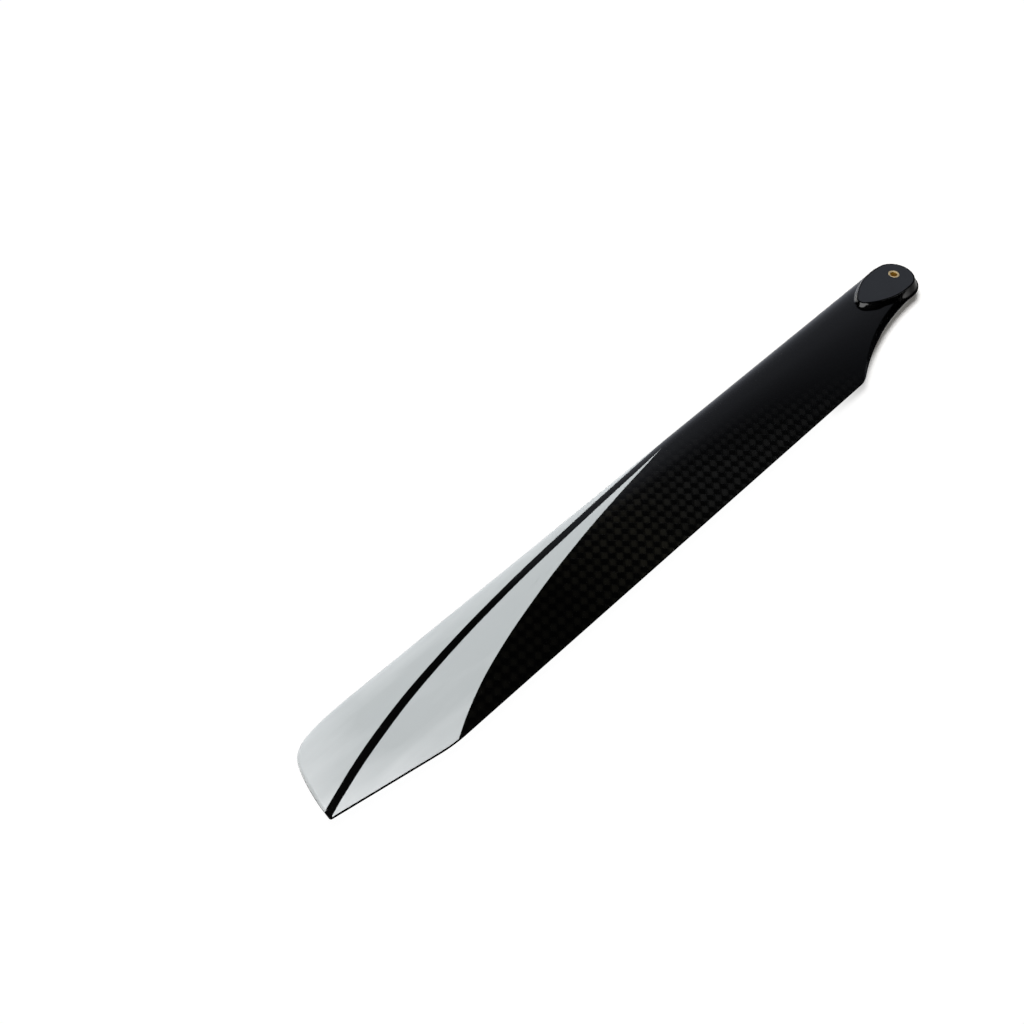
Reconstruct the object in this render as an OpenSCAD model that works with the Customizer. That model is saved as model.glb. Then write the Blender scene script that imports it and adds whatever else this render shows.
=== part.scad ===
// Main rotor blade of a model helicopter: a moulded carbon blade with a raised bolt pad on both faces of
// its root, and a brass bushing pressed through the pads. Sizes are millimetres.
// The middle of the bolt hole, at half thickness, is the origin. X runs out to the tip, Z runs up along
// the bolt, and the leading edge faces -Y.

/* [Blade] */
// Bolt hole to the outermost point of the tip
span = 245.4; // [220:0.1:270]
// Leading edge to trailing edge
chord = 26.8; // [25.6:0.1:29]
// Leading edge to the middle of the bolt hole
hole_back = 7.25; // [7:0.05:8]
// Greatest thickness as a share of the chord, per cent
thickness_pct = 12; // [10:0.5:14]
// Thickness of the trailing edge
te_thick = 1; // [0.7:0.05:1.2]
// Flat left on the leading edge where the mould halves meet
le_flat = 0.16; // [0.1:0.02:0.3]

/* [Tip] */
// Length of the narrowing outer part
taper_len = 32; // [31:0.5:45]
// Angle of the trailing edge along the outer part
taper_angle = 11; // [8:0.1:12]
// Radius where the trailing edge turns in
taper_bend_r = 40; // [20:1:55]
// Angle of the end edge off square
tip_rake = 12.5; // [8:0.5:16]
// Bow of the end edge outward from its straight line
tip_bow = 0.37; // [0.2:0.01:0.5]
// Run-in of the rounded leading corner along the leading edge
tip_lead = 20; // [16:0.5:21]
// Run-out of the rounded leading corner along the end edge
tip_drop = 7.8; // [6:0.1:9]
// Distance of the rounding's handles from the sharp corner
tip_blunt = 2; // [1.5:0.1:3]
// Radius of the trailing corner
tip_corner_r = 0.5; // [0.4:0.1:1]
// Thickness left at the end edge
tip_thick = 0.3; // [0.2:0.05:0.6]
// Width over which the end edge is rounded
tip_round = 0.8; // [0.5:0.1:1.5]

/* [Root] */
// Bolt hole to the root end
root_back = 7.35; // [7:0.05:7.8]
// Radius of the root end
root_end_r = 8; // [7.7:0.1:8.5]
// Radius of the cut-away behind the bolt
cut_r = 94; // [86:1:110]
// Radius of the corner between the cut-away and the trailing edge
cut_corner_r = 9; // [5:0.5:12]
// Thickness left along the rim of the root
rim_thick = 0.5; // [0.3:0.05:0.8]
// Slope of the bevel along that rim, in degrees
rim_slope = 28; // [22:1:40]

/* [Bolt pad] */
// Thickness over both pads
root_thick = 6; // [5.4:0.1:6.6]
// Rim left between the pad and the round root end
pad_margin = 1.8; // [1.5:0.1:2.2]
// Radius of the pad's outer nose
pad_nose_r = 2; // [1.6:0.1:2.4]
// Middle of the nose, outboard of the bolt
pad_nose_x = 17; // [15:0.5:18]
// Middle of the nose, behind the bolt
pad_nose_y = 0; // [-0.2:0.1:0.4]
// Radius of the pad's long sides
pad_side_r = 25; // [23:1:32]
// Straight edge at the top of the pad wall
pad_lip = 0.1; // [0.05:0.05:0.3]
// Width of the hollow sweep down to the blade on the trailing side and round the root end
pad_flare = 1.3; // [1.1:0.05:1.45]
// Width of the sweep on the leading side
lead_flare = 0.7; // [0.6:0.05:1]
// Width of the sweep round the nose
nose_flare = 2.2; // [1.8:0.1:2.4]

/* [Bushing] */
// Bolt diameter
bolt_d = 2; // [1.6:0.1:2.5]
// Clearance of the bolt in the bushing, on the diameter
bolt_clearance = 0.1; // [0.05:0.01:0.2]
// Wall of the bushing
bushing_wall = 0.7; // [0.5:0.05:1]
// Chamfer at the mouths of the bushing
bushing_chamfer = 0.2; // [0.1:0.01:0.25]

/* [Hidden] */
$fn = 96;
// facets of the pad's long arcs
long_fn = 720;
eps = 0.1;
carbon = [0.07, 0.07, 0.08];
brass = [0.80, 0.60, 0.25];
// steps across the chord, along the pad sides, round the root end, and from the pad to the rim
chord_steps = 18;
side_steps = 12;
end_steps = 20;
web_steps = 10;

// plan of the blade
le_y = -hole_back;
te_y = chord - hole_back;
end_c = [root_end_r - root_back, le_y + root_end_r];
cut_c = [end_c[0], end_c[1] + root_end_r + cut_r];
corner_y = te_y - cut_corner_r;
corner_x = cut_c[0] + sqrt(pow(cut_r + cut_corner_r, 2) - pow(cut_c[1] - corner_y, 2));
cut_stop = cut_c[0] + cut_r * (corner_x - cut_c[0]) / (cut_r + cut_corner_r);
bend_x = span - taper_len;
bend_in = bend_x - taper_bend_r * tan(taper_angle / 2);
bend_out = bend_in + taper_bend_r * sin(taper_angle);
tip_te = [span, te_y - taper_len * tan(taper_angle)];
tip_dir = [sin(tip_rake), cos(tip_rake)];
tip_out = [cos(tip_rake), -sin(tip_rake)];
tip_le = tip_te - tip_dir * (tip_te[1] - le_y) / cos(tip_rake);
// plain run between the pad's sweep and the first station
web_run = 3.6;
join_x = pad_nose_x + pad_nose_r + nose_flare + web_run;

// trailing edge without and with the cut-away
function full_te(x) =
    x < bend_in ? te_y
    : x < bend_out ? te_y - taper_bend_r + sqrt(pow(taper_bend_r, 2) - pow(x - bend_in, 2))
    : te_y - (x - bend_x) * tan(taper_angle);
function te(x) =
    x < cut_stop ? cut_c[1] - sqrt(pow(cut_r, 2) - pow(x - cut_c[0], 2))
    : x < corner_x ? corner_y + sqrt(pow(cut_corner_r, 2) - pow(x - corner_x, 2))
    : full_te(x);

// rounded leading corner of the tip
tip_p0 = tip_le - [tip_lead, 0];
tip_p1 = tip_le - [tip_blunt, 0];
tip_p3 = tip_le + tip_dir * tip_drop;
end_lean = 4 * tip_bow / norm(tip_te - tip_p3);
tip_p2 = tip_p3 - (tip_dir + end_lean * tip_out) * (tip_drop - tip_blunt);
function tip_curve(t) =
    pow(1 - t, 3) * tip_p0 + 3 * pow(1 - t, 2) * t * tip_p1
    + 3 * (1 - t) * t * t * tip_p2 + t * t * t * tip_p3;

// small trailing corner of the tip, turning from the trailing edge to the end edge
turn = 90 + taper_angle - tip_rake;
tip_cut = tip_corner_r * tan(turn / 2);
tip_in = tip_te + tip_cut * [-cos(taper_angle), sin(taper_angle)];
tip_round_c = tip_in - tip_corner_r * [sin(taper_angle), cos(taper_angle)];
function tip_corner(s) =
    tip_round_c + tip_corner_r * [sin(taper_angle + s * turn), cos(taper_angle + s * turn)];
// share of the tip's stations that end on the trailing edge; the rest end on its corner
on_te = 0.7;
function tip_te_at(t) = t < on_te
    ? let (x = tip_p0[0] + (tip_in[0] - tip_p0[0]) * t / on_te) [x, full_te(x)]
    : tip_corner((t - on_te) / (1 - on_te));

// outline of the bolt pad: end, two bowed sides, nose
pad_c1 = end_c;
pad_end_r = root_end_r - pad_margin;
pad_c2 = [pad_nose_x, pad_nose_y];
pad_d = norm(pad_c2 - pad_c1);
pad_u = (pad_c2 - pad_c1) / pad_d;
pad_n = [-pad_u[1], pad_u[0]];
reach_1 = pad_side_r - pad_end_r;
reach_2 = pad_side_r - pad_nose_r;
pad_a = (pow(reach_1, 2) - pow(reach_2, 2) + pow(pad_d, 2)) / (2 * pad_d);
pad_h = sqrt(pow(reach_1, 2) - pow(pad_a, 2));
back_c = pad_c1 + pad_a * pad_u - pad_h * pad_n;
front_c = pad_c1 + pad_a * pad_u + pad_h * pad_n;
function bearing(v) = atan2(v[1], v[0]);
function polar(a) = [cos(a), sin(a)];
back_1 = bearing(pad_c1 - back_c);
back_2 = bearing(pad_c2 - back_c);
front_1 = bearing(pad_c1 - front_c) + 360;
front_2 = bearing(pad_c2 - front_c) + 360;
function pad_dist(p) =
    let (a1 = (bearing(p - pad_c1) + 360) % 360, a2 = bearing(p - pad_c2))
    a1 >= back_1 && a1 <= front_1 ? norm(p - pad_c1) - pad_end_r
    : a2 >= front_2 - 360 && a2 <= back_2 ? norm(p - pad_c2) - pad_nose_r
    : (p - pad_c1) * pad_n > 0 ? norm(p - back_c) - pad_side_r
    : norm(p - front_c) - pad_side_r;

// half thickness of the blade section: symmetric, round nosed, with a square trailing edge
function section(k) =
    5 * thickness_pct / 100
    * (0.2969 * sqrt(k) - 0.1260 * k - 0.3516 * k * k + 0.2843 * pow(k, 3) - 0.1036 * pow(k, 4));
function skin(k, width) = le_flat / 2 * (1 - k) + section(k) * width + te_thick / 2 * k;
function rounded(s, w, rim, h) =
    let (t = max(s, 0) / w) t >= 1 ? h : rim + (h - rim) * sqrt(1 - pow(1 - t, 2));

// half thickness anywhere in the root: section, bevelled rim, hollow sweep up to the pad
function root_skin(p) =
    let (
        k = max(0, (p[1] - le_y) / chord),
        h = skin(k, chord),
        out = norm(p - end_c),
        s = p[0] < end_c[0] ? root_end_r - out : norm(p - cut_c) - cut_r,
        low = p[0] < end_c[0] && p[1] < end_c[1] ? asin((end_c[1] - p[1]) / max(out, eps)) / 90 : 0,
        rim = min(h, rim_thick / 2 + max(0, s) * tan(rim_slope)),
        nose = skin(max(0, s) / chord, chord)
    )
    low > 0 ? rim * (1 - low) + nose * low : rim;
// width of the sweep: it widens over the nose's length, and over the turn from its leading to its
// trailing side; toward the root end the leading side takes the trailing side's width
function eased(t) = let (c = min(1, max(0, t))) c * c * (3 - 2 * c);
lead_turn = -30;
trail_turn = 40;
function flare(p) =
    let (
        near_nose = eased(1 + (p[0] - pad_nose_x) / (2 * pad_nose_r)),
        trailing = eased((bearing(p - pad_c2) - lead_turn) / (trail_turn - lead_turn)),
        past_bolt = eased(p[0] / pad_end_r),
        trail = pad_flare + (nose_flare - pad_flare) * near_nose
    )
    trail + (lead_flare - trail) * (1 - trailing) * past_bolt;
// how soon the sweep flattens: 1 is a straight slope, 2 a deep hollow
sweep_hollow = 1.5;
function flared(p) =
    let (h = root_skin(p), d = max(0, pad_dist(p)), w = flare(p), top = root_thick / 2 - pad_lip)
    d >= w ? h : h + (top - h) * pow(1 - d / w, sweep_hollow);

// half thickness across one station, f from leading to trailing edge
function tip_gap(p) = (tip_te - p) * tip_out;
function station_skin(a, b, f) =
    let (p = a + (b - a) * f)
    p[0] < corner_x + eps ? root_skin(p)
    : let (h = skin(f, norm(b - a))) rounded(tip_gap(p), tip_round, min(h, tip_thick / 2), h);

// shares of a length, closer together at both ends
function share(i, n) = (1 - cos(180 * i / n)) / 2;

// stations from the root to the tip, each a leading point, a trailing point and a share of the bow
cut_steps = 8;
corner_steps = 5;
bend_steps = 4;
tip_steps = 16;
plain_x = concat(
    [for (i = [0 : cut_steps]) join_x + (cut_stop - join_x) * i / cut_steps],
    [for (i = [1 : corner_steps]) cut_stop + (corner_x - cut_stop) * i / corner_steps],
    [for (i = [0 : bend_steps]) bend_in + (bend_out - bend_in) * i / bend_steps]
);
stations = concat(
    [for (x = plain_x) [[x, le_y], [x, te(x)], 0]],
    [
        for (i = [0 : tip_steps])
            let (t = 1 - pow(1 - i / tip_steps, 2)) [tip_curve(t), tip_te_at(t), t]
    ]
);
rows = len(stations);
function bowed(s, f) = s[0] + (s[1] - s[0]) * f + 4 * f * (1 - f) * s[2] * tip_bow * tip_out;

// web of points from the pad out to the rim of the root
around = chord_steps + 2 * side_steps + end_steps;
function pad_point(k) =
    k < chord_steps
    ? let (f = share(k, chord_steps))
        pad_c2 + (pad_nose_r - eps) * polar(front_2 - 360 + (back_2 - front_2 + 360) * f)
    : k < chord_steps + side_steps
    ? let (f = (k - chord_steps) / side_steps)
        back_c + (pad_side_r - eps) * polar(back_2 + (back_1 - back_2) * f)
    : k < chord_steps + side_steps + end_steps
    ? let (f = (k - chord_steps - side_steps) / end_steps)
        pad_c1 + (pad_end_r - eps) * polar(back_1 + (front_1 - back_1) * f)
    : let (f = (k - around + side_steps) / side_steps)
        front_c + (pad_side_r - eps) * polar(front_1 + (front_2 - front_1) * f);
function rim_point(k) =
    k < chord_steps
    ? [join_x, le_y + (te(join_x) - le_y) * share(k, chord_steps)]
    : k < chord_steps + side_steps
    ? let (x = join_x + (end_c[0] - join_x) * (k - chord_steps) / side_steps) [x, te(x)]
    : k < chord_steps + side_steps + end_steps
    ? end_c + root_end_r * polar(90 + 180 * (k - chord_steps - side_steps) / end_steps)
    : [end_c[0] + (join_x - end_c[0]) * (k - around + side_steps) / side_steps, le_y];
web_plan = [
    for (m = [0 : web_steps]) [
        for (k = [0 : around - 1]) pad_point(k) + (rim_point(k) - pad_point(k)) * share(m, web_steps)
    ]
];
web_top = [for (m = [0 : web_steps]) for (p = web_plan[m]) [p[0], p[1], flared(p)]];
row_top = [
    for (i = [1 : rows - 1]) for (j = [0 : chord_steps])
        let (s = stations[i], f = share(j, chord_steps), p = bowed(s, f))
        [p[0], p[1], station_skin(s[0], s[1], f)]
];
half = concat(web_top, row_top);
count = len(half);
function web(m, k) = m * around + k % around;
function row(i, j) =
    i == 0 ? web(web_steps, j) : (web_steps + 1) * around + (i - 1) * (chord_steps + 1) + j;
function flip(f) = [for (i = [len(f) - 1 : -1 : 0]) count + f[i]];
function two(a, b, c, d) = [[a, b, c], [a, c, d]];
function wall(a, b) = two(a, b, count + b, count + a);
last = rows - 1;
upper = concat(
    [[for (k = [around - 1 : -1 : 0]) web(0, k)]],
    [
        for (m = [0 : web_steps - 1]) for (k = [0 : around - 1])
            each two(web(m, k), web(m, k + 1), web(m + 1, k + 1), web(m + 1, k))
    ],
    [
        for (i = [0 : last - 1]) for (j = [0 : chord_steps - 1])
            each two(row(i, j), row(i, j + 1), row(i + 1, j + 1), row(i + 1, j))
    ]
);
edges = concat(
    [for (k = [chord_steps : around - 1]) each wall(web(web_steps, k), web(web_steps, k + 1))],
    [for (i = [0 : last - 1]) each wall(row(i, 0), row(i + 1, 0))],
    [for (i = [0 : last - 1]) each wall(row(i + 1, chord_steps), row(i, chord_steps))],
    [for (j = [0 : chord_steps - 1]) each wall(row(last, j), row(last, j + 1))]
);

bore_d = bolt_d + bolt_clearance;
bushing_d = bore_d + 2 * bushing_wall;

module pad_plan() {
    half_back = (back_1 - back_2) / 2;
    half_front = (front_2 - front_1) / 2;
    translate(pad_c1)
        circle(r = pad_end_r);
    translate(pad_c2)
        circle(r = pad_nose_r);
    intersection() {
        translate(back_c)
            circle(r = pad_side_r, $fn = long_fn);
        translate(front_c)
            circle(r = pad_side_r, $fn = long_fn);
        polygon([
            back_c + pad_side_r * polar(back_1),
            pad_c1,
            front_c + pad_side_r * polar(front_1),
            front_c + (pad_side_r / cos(half_front) + eps) * polar(front_1 + half_front),
            front_c + pad_side_r * polar(front_2),
            pad_c2,
            back_c + pad_side_r * polar(back_2),
            back_c + (pad_side_r / cos(half_back) + eps) * polar(back_2 + half_back)
        ]);
    }
}

module blade_skin() {
    polyhedron(
        points = concat(half, [for (p = half) [p[0], p[1], -p[2]]]),
        faces = concat(upper, [for (f = upper) flip(f)], edges),
        convexity = 4
    );
}

module blade() {
    color(carbon)
        difference() {
            union() {
                blade_skin();
                linear_extrude(height = root_thick, center = true)
                    pad_plan();
            }
            cylinder(d = bushing_d, h = root_thick + 2 * eps, center = true);
        }
}

module bushing() {
    mouth_d = bore_d + 2 * bushing_chamfer;
    color(brass)
        difference() {
            cylinder(d = bushing_d, h = root_thick, center = true);
            cylinder(d = bore_d, h = root_thick + 2 * eps, center = true);
            translate([0, 0, root_thick / 2 - bushing_chamfer])
                cylinder(d1 = bore_d, d2 = mouth_d, h = bushing_chamfer);
            translate([0, 0, -root_thick / 2])
                cylinder(d1 = mouth_d, d2 = bore_d, h = bushing_chamfer);
        }
}

blade();
bushing();
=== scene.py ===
"""Model helicopter rotor blade: lacquered woven carbon with a painted tip and a brass bushing."""
from math import asin, atan2, cos, pi, radians, sin, sqrt, tan

import bpy
from mathutils import Matrix, Vector


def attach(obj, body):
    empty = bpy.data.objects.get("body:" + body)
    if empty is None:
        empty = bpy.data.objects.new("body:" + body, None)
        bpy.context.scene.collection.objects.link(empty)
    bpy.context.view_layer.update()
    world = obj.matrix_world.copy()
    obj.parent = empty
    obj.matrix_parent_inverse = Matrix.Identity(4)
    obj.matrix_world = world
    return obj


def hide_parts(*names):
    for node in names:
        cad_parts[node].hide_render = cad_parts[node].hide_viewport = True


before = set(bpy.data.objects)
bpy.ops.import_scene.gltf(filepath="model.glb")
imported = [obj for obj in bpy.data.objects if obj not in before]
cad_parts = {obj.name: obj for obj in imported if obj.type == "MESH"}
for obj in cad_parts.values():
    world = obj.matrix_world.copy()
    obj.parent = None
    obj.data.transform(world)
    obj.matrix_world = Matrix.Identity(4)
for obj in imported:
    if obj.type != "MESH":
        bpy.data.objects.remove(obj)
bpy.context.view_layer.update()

MM = 0.001

# blade plan in millimetres: bolt hole at the origin, tip toward +X, leading edge toward -Y
SPAN = 245.4
CHORD = 26.8
HOLE_BACK = 7.25
SECTION_SHARE = 0.12
TE_THICK = 1.0
LE_FLAT = 0.16

# the section's thickness curve: factors of the square root and of the powers 1 to 4 of the chord share
SECTION_CURVE = (0.2969, -0.1260, -0.3516, 0.2843, -0.1036)
SECTION_GAIN = 5.0

# narrowing outer part, its raked end edge and the two corners there
TAPER_LEN = 32.0
TAPER_ANGLE = radians(11.0)
TAPER_BEND_R = 40.0
TIP_RAKE = radians(12.5)
TIP_BOW = 0.37
TIP_LEAD = 20.0
TIP_DROP = 7.8
TIP_BLUNT = 2.0
TIP_CORNER_R = 0.5
TIP_STRAIGHT = 0.7
TIP_THICK = 0.45
TIP_ROUND = 0.8

# round root end and the cut-away behind the bolt
ROOT_BACK = 7.35
ROOT_END_R = 8.0
CUT_R = 94.0
CUT_CORNER_R = 9.0
RIM_THICK = 0.5
RIM_SLOPE = radians(36.0)

# leaf-shaped bolt pad: round end, bowed sides, small nose, hollow sweep down to the blade
ROOT_THICK = 6.0
PAD_MARGIN = 1.8
PAD_NOSE = Vector((17.0, 0.0))
PAD_NOSE_R = 2.0
PAD_SIDE_R = 25.0
PAD_LIP = 0.1
PAD_EDGE = 0.45
PAD_EDGE_DROP = 0.07
PAD_EDGE_SOFT = 0.1
PAD_FLARE = 1.3
LEAD_FLARE = 0.7
NOSE_FLARE = 2.2
NOSE_TURN = (radians(-30.0), radians(40.0))
SWEEP_HOLLOW = 1.5
WEB_REACH = 3.6

# turned brass bushing
BUSHING_R = 1.75
BORE_R = 1.05
MOUTH_CHAMFER = 0.2
BUSHING_EDGE = 0.06
TURN_STEPS = 96

# edges that turn by more than this stay sharp
BLADE_SHARP = radians(38.0)
BUSHING_SHARP = radians(30.0)

# mesh steps: across the chord, along the pad sides, round the root end, pad to rim, then outward
CHORD_STEPS = 96
SIDE_STEPS = 40
END_STEPS = 64
WEB_STEPS = 48
CUT_STEPS = 40
CORNER_STEPS = 20
STRAIGHT_STEPS = 40
BEND_STEPS = 12
TIP_STEPS = 56
# rows along the tip's end edge painted matt black as shade
END_SHADE_STEPS = 4
PAD_STRIPS = 2
AROUND = CHORD_STEPS + 2 * SIDE_STEPS + END_STEPS

# borders of the painted fields, as points (x, y) in millimetres that each border passes through
STRIPE_LEAD = (
    (100, -7.36), (120, -6.29), (145, -4.91), (175, -2.71), (205, 1.06), (225, 5.14), (242, 10.29),
    (250, 13.3),
)
STRIPE_TRAIL = (
    (100, -5.9), (115, -4.8), (145, -2.98), (175, -0.76), (205, 3.13), (225, 7.33), (240, 11.65),
    (243.6, 12.9), (250, 15.2),
)
FIELD_ROOT = (
    (100, -6.75), (110, -5.1), (130, -2.38), (150, 0.81), (170, 4.91), (190, 10.2), (202, 14.64),
    (214, 20.8),
)
BORDER_X = (100.0, 250.0)
BORDER_Y = (-10.0, 25.0)
BORDER_SOFT = 0.07
STRIPE_START = (100.0, 112.0)
STRIPE_END = 11.4

# woven cloth, in shares of one cell: low ends of a tow, noise along and across its fibres, its painted
# sheen, and the painted shade where the weft dips and along one side of each warp tow
TOW_PITCH = 2.0
TOW_LOW = 0.35
FIBRE_DRAWN = (0.7, 13.0)
WEFT_DIP_U = (0.1, 0.6)
WEFT_DIP_V = (0.05, 0.5)
WARP_SIDE_SHADOW = (0.7, 0.98)
WARP_SIDE_SHADOW_DEPTH = 0.8
WARP_SHEEN = (0.3, 1.0)
WEFT_SHADE = (0.34, 0.05)
CHANCE_SHADE = (0.75, 1.2)
FIBRE_SHADE = (0.6, 1.4)

# stretches in millimetres over which the lacquered skin changes
COAT_BEGINS = (2, 6)
WEAVE_SLANT = 2.9
WEAVE_BEGINS = (85, 135)
WARM_BEGINS = (112, 135)
# painted shade: where and how much the weave darkens toward the tip, standing in for its sheen falling off
WEAVE_SHEEN_FADES = (138, 166)
WEAVE_SHEEN_FADE = 0.7

# painted sheen on the pale paint: where it is lighter toward its edges, in millimetres, and by how much
NEAR_END = (222, 243)
NEAR_LEAD = (0, -8)
NEAR_TRAIL = (8, 20)
OUTER = (200, 235)
END_SHEEN = 0.75
LEAD_SHEEN = 0.35
CLOUD_SHEEN = 1.3

# colours
# tow colours run from full painted sheen down to painted shade
TOW_COLOUR = (0.0084, 0.0084, 0.0082, 1)
WARM_TOW_COLOUR = (0.0084, 0.0079, 0.0058, 1)
TOW_SHADE_COLOUR = (0.0001, 0.0001, 0.0001, 1)
LACQUER_COLOUR = (0.0002, 0.0002, 0.00025, 1)
STRIPE_COLOUR = (0.0014, 0.0014, 0.0014, 1)
PALE_COLOUR = (0.548, 0.582, 0.59, 1)
# the pale paint in full painted sheen
PALE_SHEEN_COLOUR = (0.77, 0.8, 0.81, 1)
PAD_COLOUR = (0.0105, 0.0118, 0.0145, 1)
EDGE_COLOUR = (0.0022, 0.0022, 0.0022, 1)
BRASS_COLOUR = (1.0, 0.83, 0.53, 1)
# painted shade inside the bushing's bore
BORE_SHADE_COLOUR = (0.6, 0.37, 0.06, 1)
PAD_SHADE = 1.25
EDGE_SHADE = 1.6
BRASS_SHADE = 0.8

# roughness from and to, bump depth in millimetres with its strength, and the size of clouds and grain
LACQUER_ROUGH = 0.3
TOW_ROUGH = (0.3, 0.55)
PAD_ROUGH = (0.42, 0.56)
EDGE_ROUGH = (0.6, 0.8)
BRASS_ROUGH = (0.66, 0.78)
COAT_ROUGH = 0.05
SKIN_SPECULAR = 0.05
WEAVE_BUMP = (0.12, 0.6)
PAD_BUMP = (0.03, 0.35)
EDGE_BUMP = (0.03, 0.4)
BRASS_BUMP = (0.004, 0.5)
SKIN_GRAIN = 0.01
TOOL_RING = 0.09
BORE_SHADE_FADE = (0.02, 0.1)
CLOUD_SCALE = 160.0
CLOUD_DETAIL = 3.0
GRAIN_SCALE = 5200.0
GRAIN_DETAIL = 1.0
SKIN_RUN = 0.2
EDGE_RUN = 0.3

# camera and lights stand on a ground frame whose X runs right and Y away in the picture
CAMERA_TILT = 0.86004
CAMERA_ROLL = -0.0145966
CAMERA_REACH = 335.780
CAMERA_LENS = 44.4519
CAMERA_SENSOR = 36.0
CAMERA_NEAR = 0.01
BLADE_AT = Vector((119.0121, 98.5319))
BLADE_YAW = -2.3231453

# floor: its own white, what the camera sees of it beyond the tall root, and what lifts it to white
FLOOR_SIZE = 6.0
FLOOR_ROUGH = 0.9
FLOOR_COLOUR = (0.99, 0.985, 0.98, 1)
FAR_FLOOR_COLOUR = (0.03, 0.03, 0.03, 1)
FLOOR_LIFT = (0.985, 0.985, 0.985, 1)
ROOT_LIFT = (0.12, 0.115, 0.105, 1)
ROOT_SHADE = (30.0, 64.0)

# studio: brightness that glossy finishes mirror, by height over the horizon, and its reach to the sides
MIRRORED = (
    (0.0, 1.0), (0.25, 0.8), (0.4, 0.47), (0.46, 0.33), (0.55, 0.22), (0.6, 0.2), (0.65, 0.18),
    (0.7, 0.125), (0.74, 0.02), (0.79, 0.003), (0.9, 0.001), (1.0, 0.001),
)
ROOM_TINT = (0.95, 1.0, 1.14)
BACKDROP_REACH = (0.5, 0.74)
FILL = (0.07, 0.07, 0.07, 1)
FRONT_AT = (-160, -445, 1190)
FRONT_SIZE = (1.75, 1.0)
FRONT_POWER = 16.6
BACK_AT = (-150, 235, 1150)
BACK_SIZE = (0.65, 0.65)
BACK_POWER = 14.2

LE_Y = -HOLE_BACK
TE_Y = CHORD - HOLE_BACK
ROOT_HALF = ROOT_THICK / 2
END_C = Vector((ROOT_END_R - ROOT_BACK, LE_Y + ROOT_END_R))
PAD_END = END_C
PAD_END_R = ROOT_END_R - PAD_MARGIN
CUT_C = Vector((END_C.x, END_C.y + ROOT_END_R + CUT_R))
CORNER_Y = TE_Y - CUT_CORNER_R
CORNER_X = CUT_C.x + sqrt((CUT_R + CUT_CORNER_R) ** 2 - (CUT_C.y - CORNER_Y) ** 2)
CUT_STOP = CUT_C.x + CUT_R * (CORNER_X - CUT_C.x) / (CUT_R + CUT_CORNER_R)
BEND_X = SPAN - TAPER_LEN
BEND_IN = BEND_X - TAPER_BEND_R * tan(TAPER_ANGLE / 2)
BEND_OUT = BEND_IN + TAPER_BEND_R * sin(TAPER_ANGLE)
TIP_TE = Vector((SPAN, TE_Y - TAPER_LEN * tan(TAPER_ANGLE)))
TIP_DIR = Vector((sin(TIP_RAKE), cos(TIP_RAKE)))
TIP_OUT = Vector((cos(TIP_RAKE), -sin(TIP_RAKE)))
TIP_LE = TIP_TE - TIP_DIR * ((TIP_TE.y - LE_Y) / cos(TIP_RAKE))
JOIN_X = PAD_NOSE.x + PAD_NOSE_R + NOSE_FLARE + WEB_REACH
FAR = 1000.0
TINY = 1e-6


def polar(angle):
    """Unit vector in the plan at an angle."""
    return Vector((cos(angle), sin(angle)))


def bearing(v):
    """Angle of a plan vector."""
    return atan2(v.y, v.x)


def share(i, n):
    """Shares of a length, closer together at both ends."""
    return (1 - cos(pi * i / n)) / 2


def trailing_edge(x):
    """Cut-away, its rounded corner, the straight run, the bend and the narrowing tip."""
    if x < CUT_STOP:
        return CUT_C.y - sqrt(CUT_R ** 2 - (x - CUT_C.x) ** 2)
    if x < CORNER_X:
        return CORNER_Y + sqrt(CUT_CORNER_R ** 2 - (x - CORNER_X) ** 2)
    if x < BEND_IN:
        return TE_Y
    if x < BEND_OUT:
        return TE_Y - TAPER_BEND_R + sqrt(TAPER_BEND_R ** 2 - (x - BEND_IN) ** 2)
    return TE_Y - (x - BEND_X) * tan(TAPER_ANGLE)


def tip_leading(t):
    """Rounded leading corner of the tip, from the leading edge into the end edge."""
    a = TIP_LE - Vector((TIP_LEAD, 0))
    b = TIP_LE - Vector((TIP_BLUNT, 0))
    d = TIP_LE + TIP_DIR * TIP_DROP
    lean = 4 * TIP_BOW / (TIP_TE - d).length
    c = d - (TIP_DIR + TIP_OUT * lean) * (TIP_DROP - TIP_BLUNT)
    s = 1 - t
    return a * s ** 3 + b * (3 * s * s * t) + c * (3 * s * t * t) + d * t ** 3


def tip_trailing(t):
    """Outer trailing edge, then the small corner that turns it into the end edge."""
    turn = pi / 2 + TAPER_ANGLE - TIP_RAKE
    into = TIP_TE + Vector((-cos(TAPER_ANGLE), sin(TAPER_ANGLE))) * (TIP_CORNER_R * tan(turn / 2))
    if t < TIP_STRAIGHT:
        start = TIP_LE.x - TIP_LEAD
        x = start + (into.x - start) * t / TIP_STRAIGHT
        return Vector((x, trailing_edge(x)))
    angle = TAPER_ANGLE + turn * (t - TIP_STRAIGHT) / (1 - TIP_STRAIGHT)
    outward = Vector((sin(TAPER_ANGLE), cos(TAPER_ANGLE)))
    return into - outward * TIP_CORNER_R + Vector((sin(angle), cos(angle))) * TIP_CORNER_R


def pad_frame():
    """Side circles of the pad and the bearings where its arcs meet."""
    axis = PAD_NOSE - PAD_END
    along = axis.normalized()
    across = Vector((-along.y, along.x))
    reach_end = PAD_SIDE_R - PAD_END_R
    reach_nose = PAD_SIDE_R - PAD_NOSE_R
    a = (reach_end ** 2 - reach_nose ** 2 + axis.length ** 2) / (2 * axis.length)
    h = sqrt(reach_end ** 2 - a ** 2)
    back = PAD_END + along * a - across * h
    front = PAD_END + along * a + across * h
    return {
        "across": across,
        "back": back,
        "front": front,
        "back_end": bearing(PAD_END - back),
        "back_nose": bearing(PAD_NOSE - back),
        "front_end": bearing(PAD_END - front) + 2 * pi,
        "front_nose": bearing(PAD_NOSE - front) + 2 * pi,
    }


PAD = pad_frame()


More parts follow.
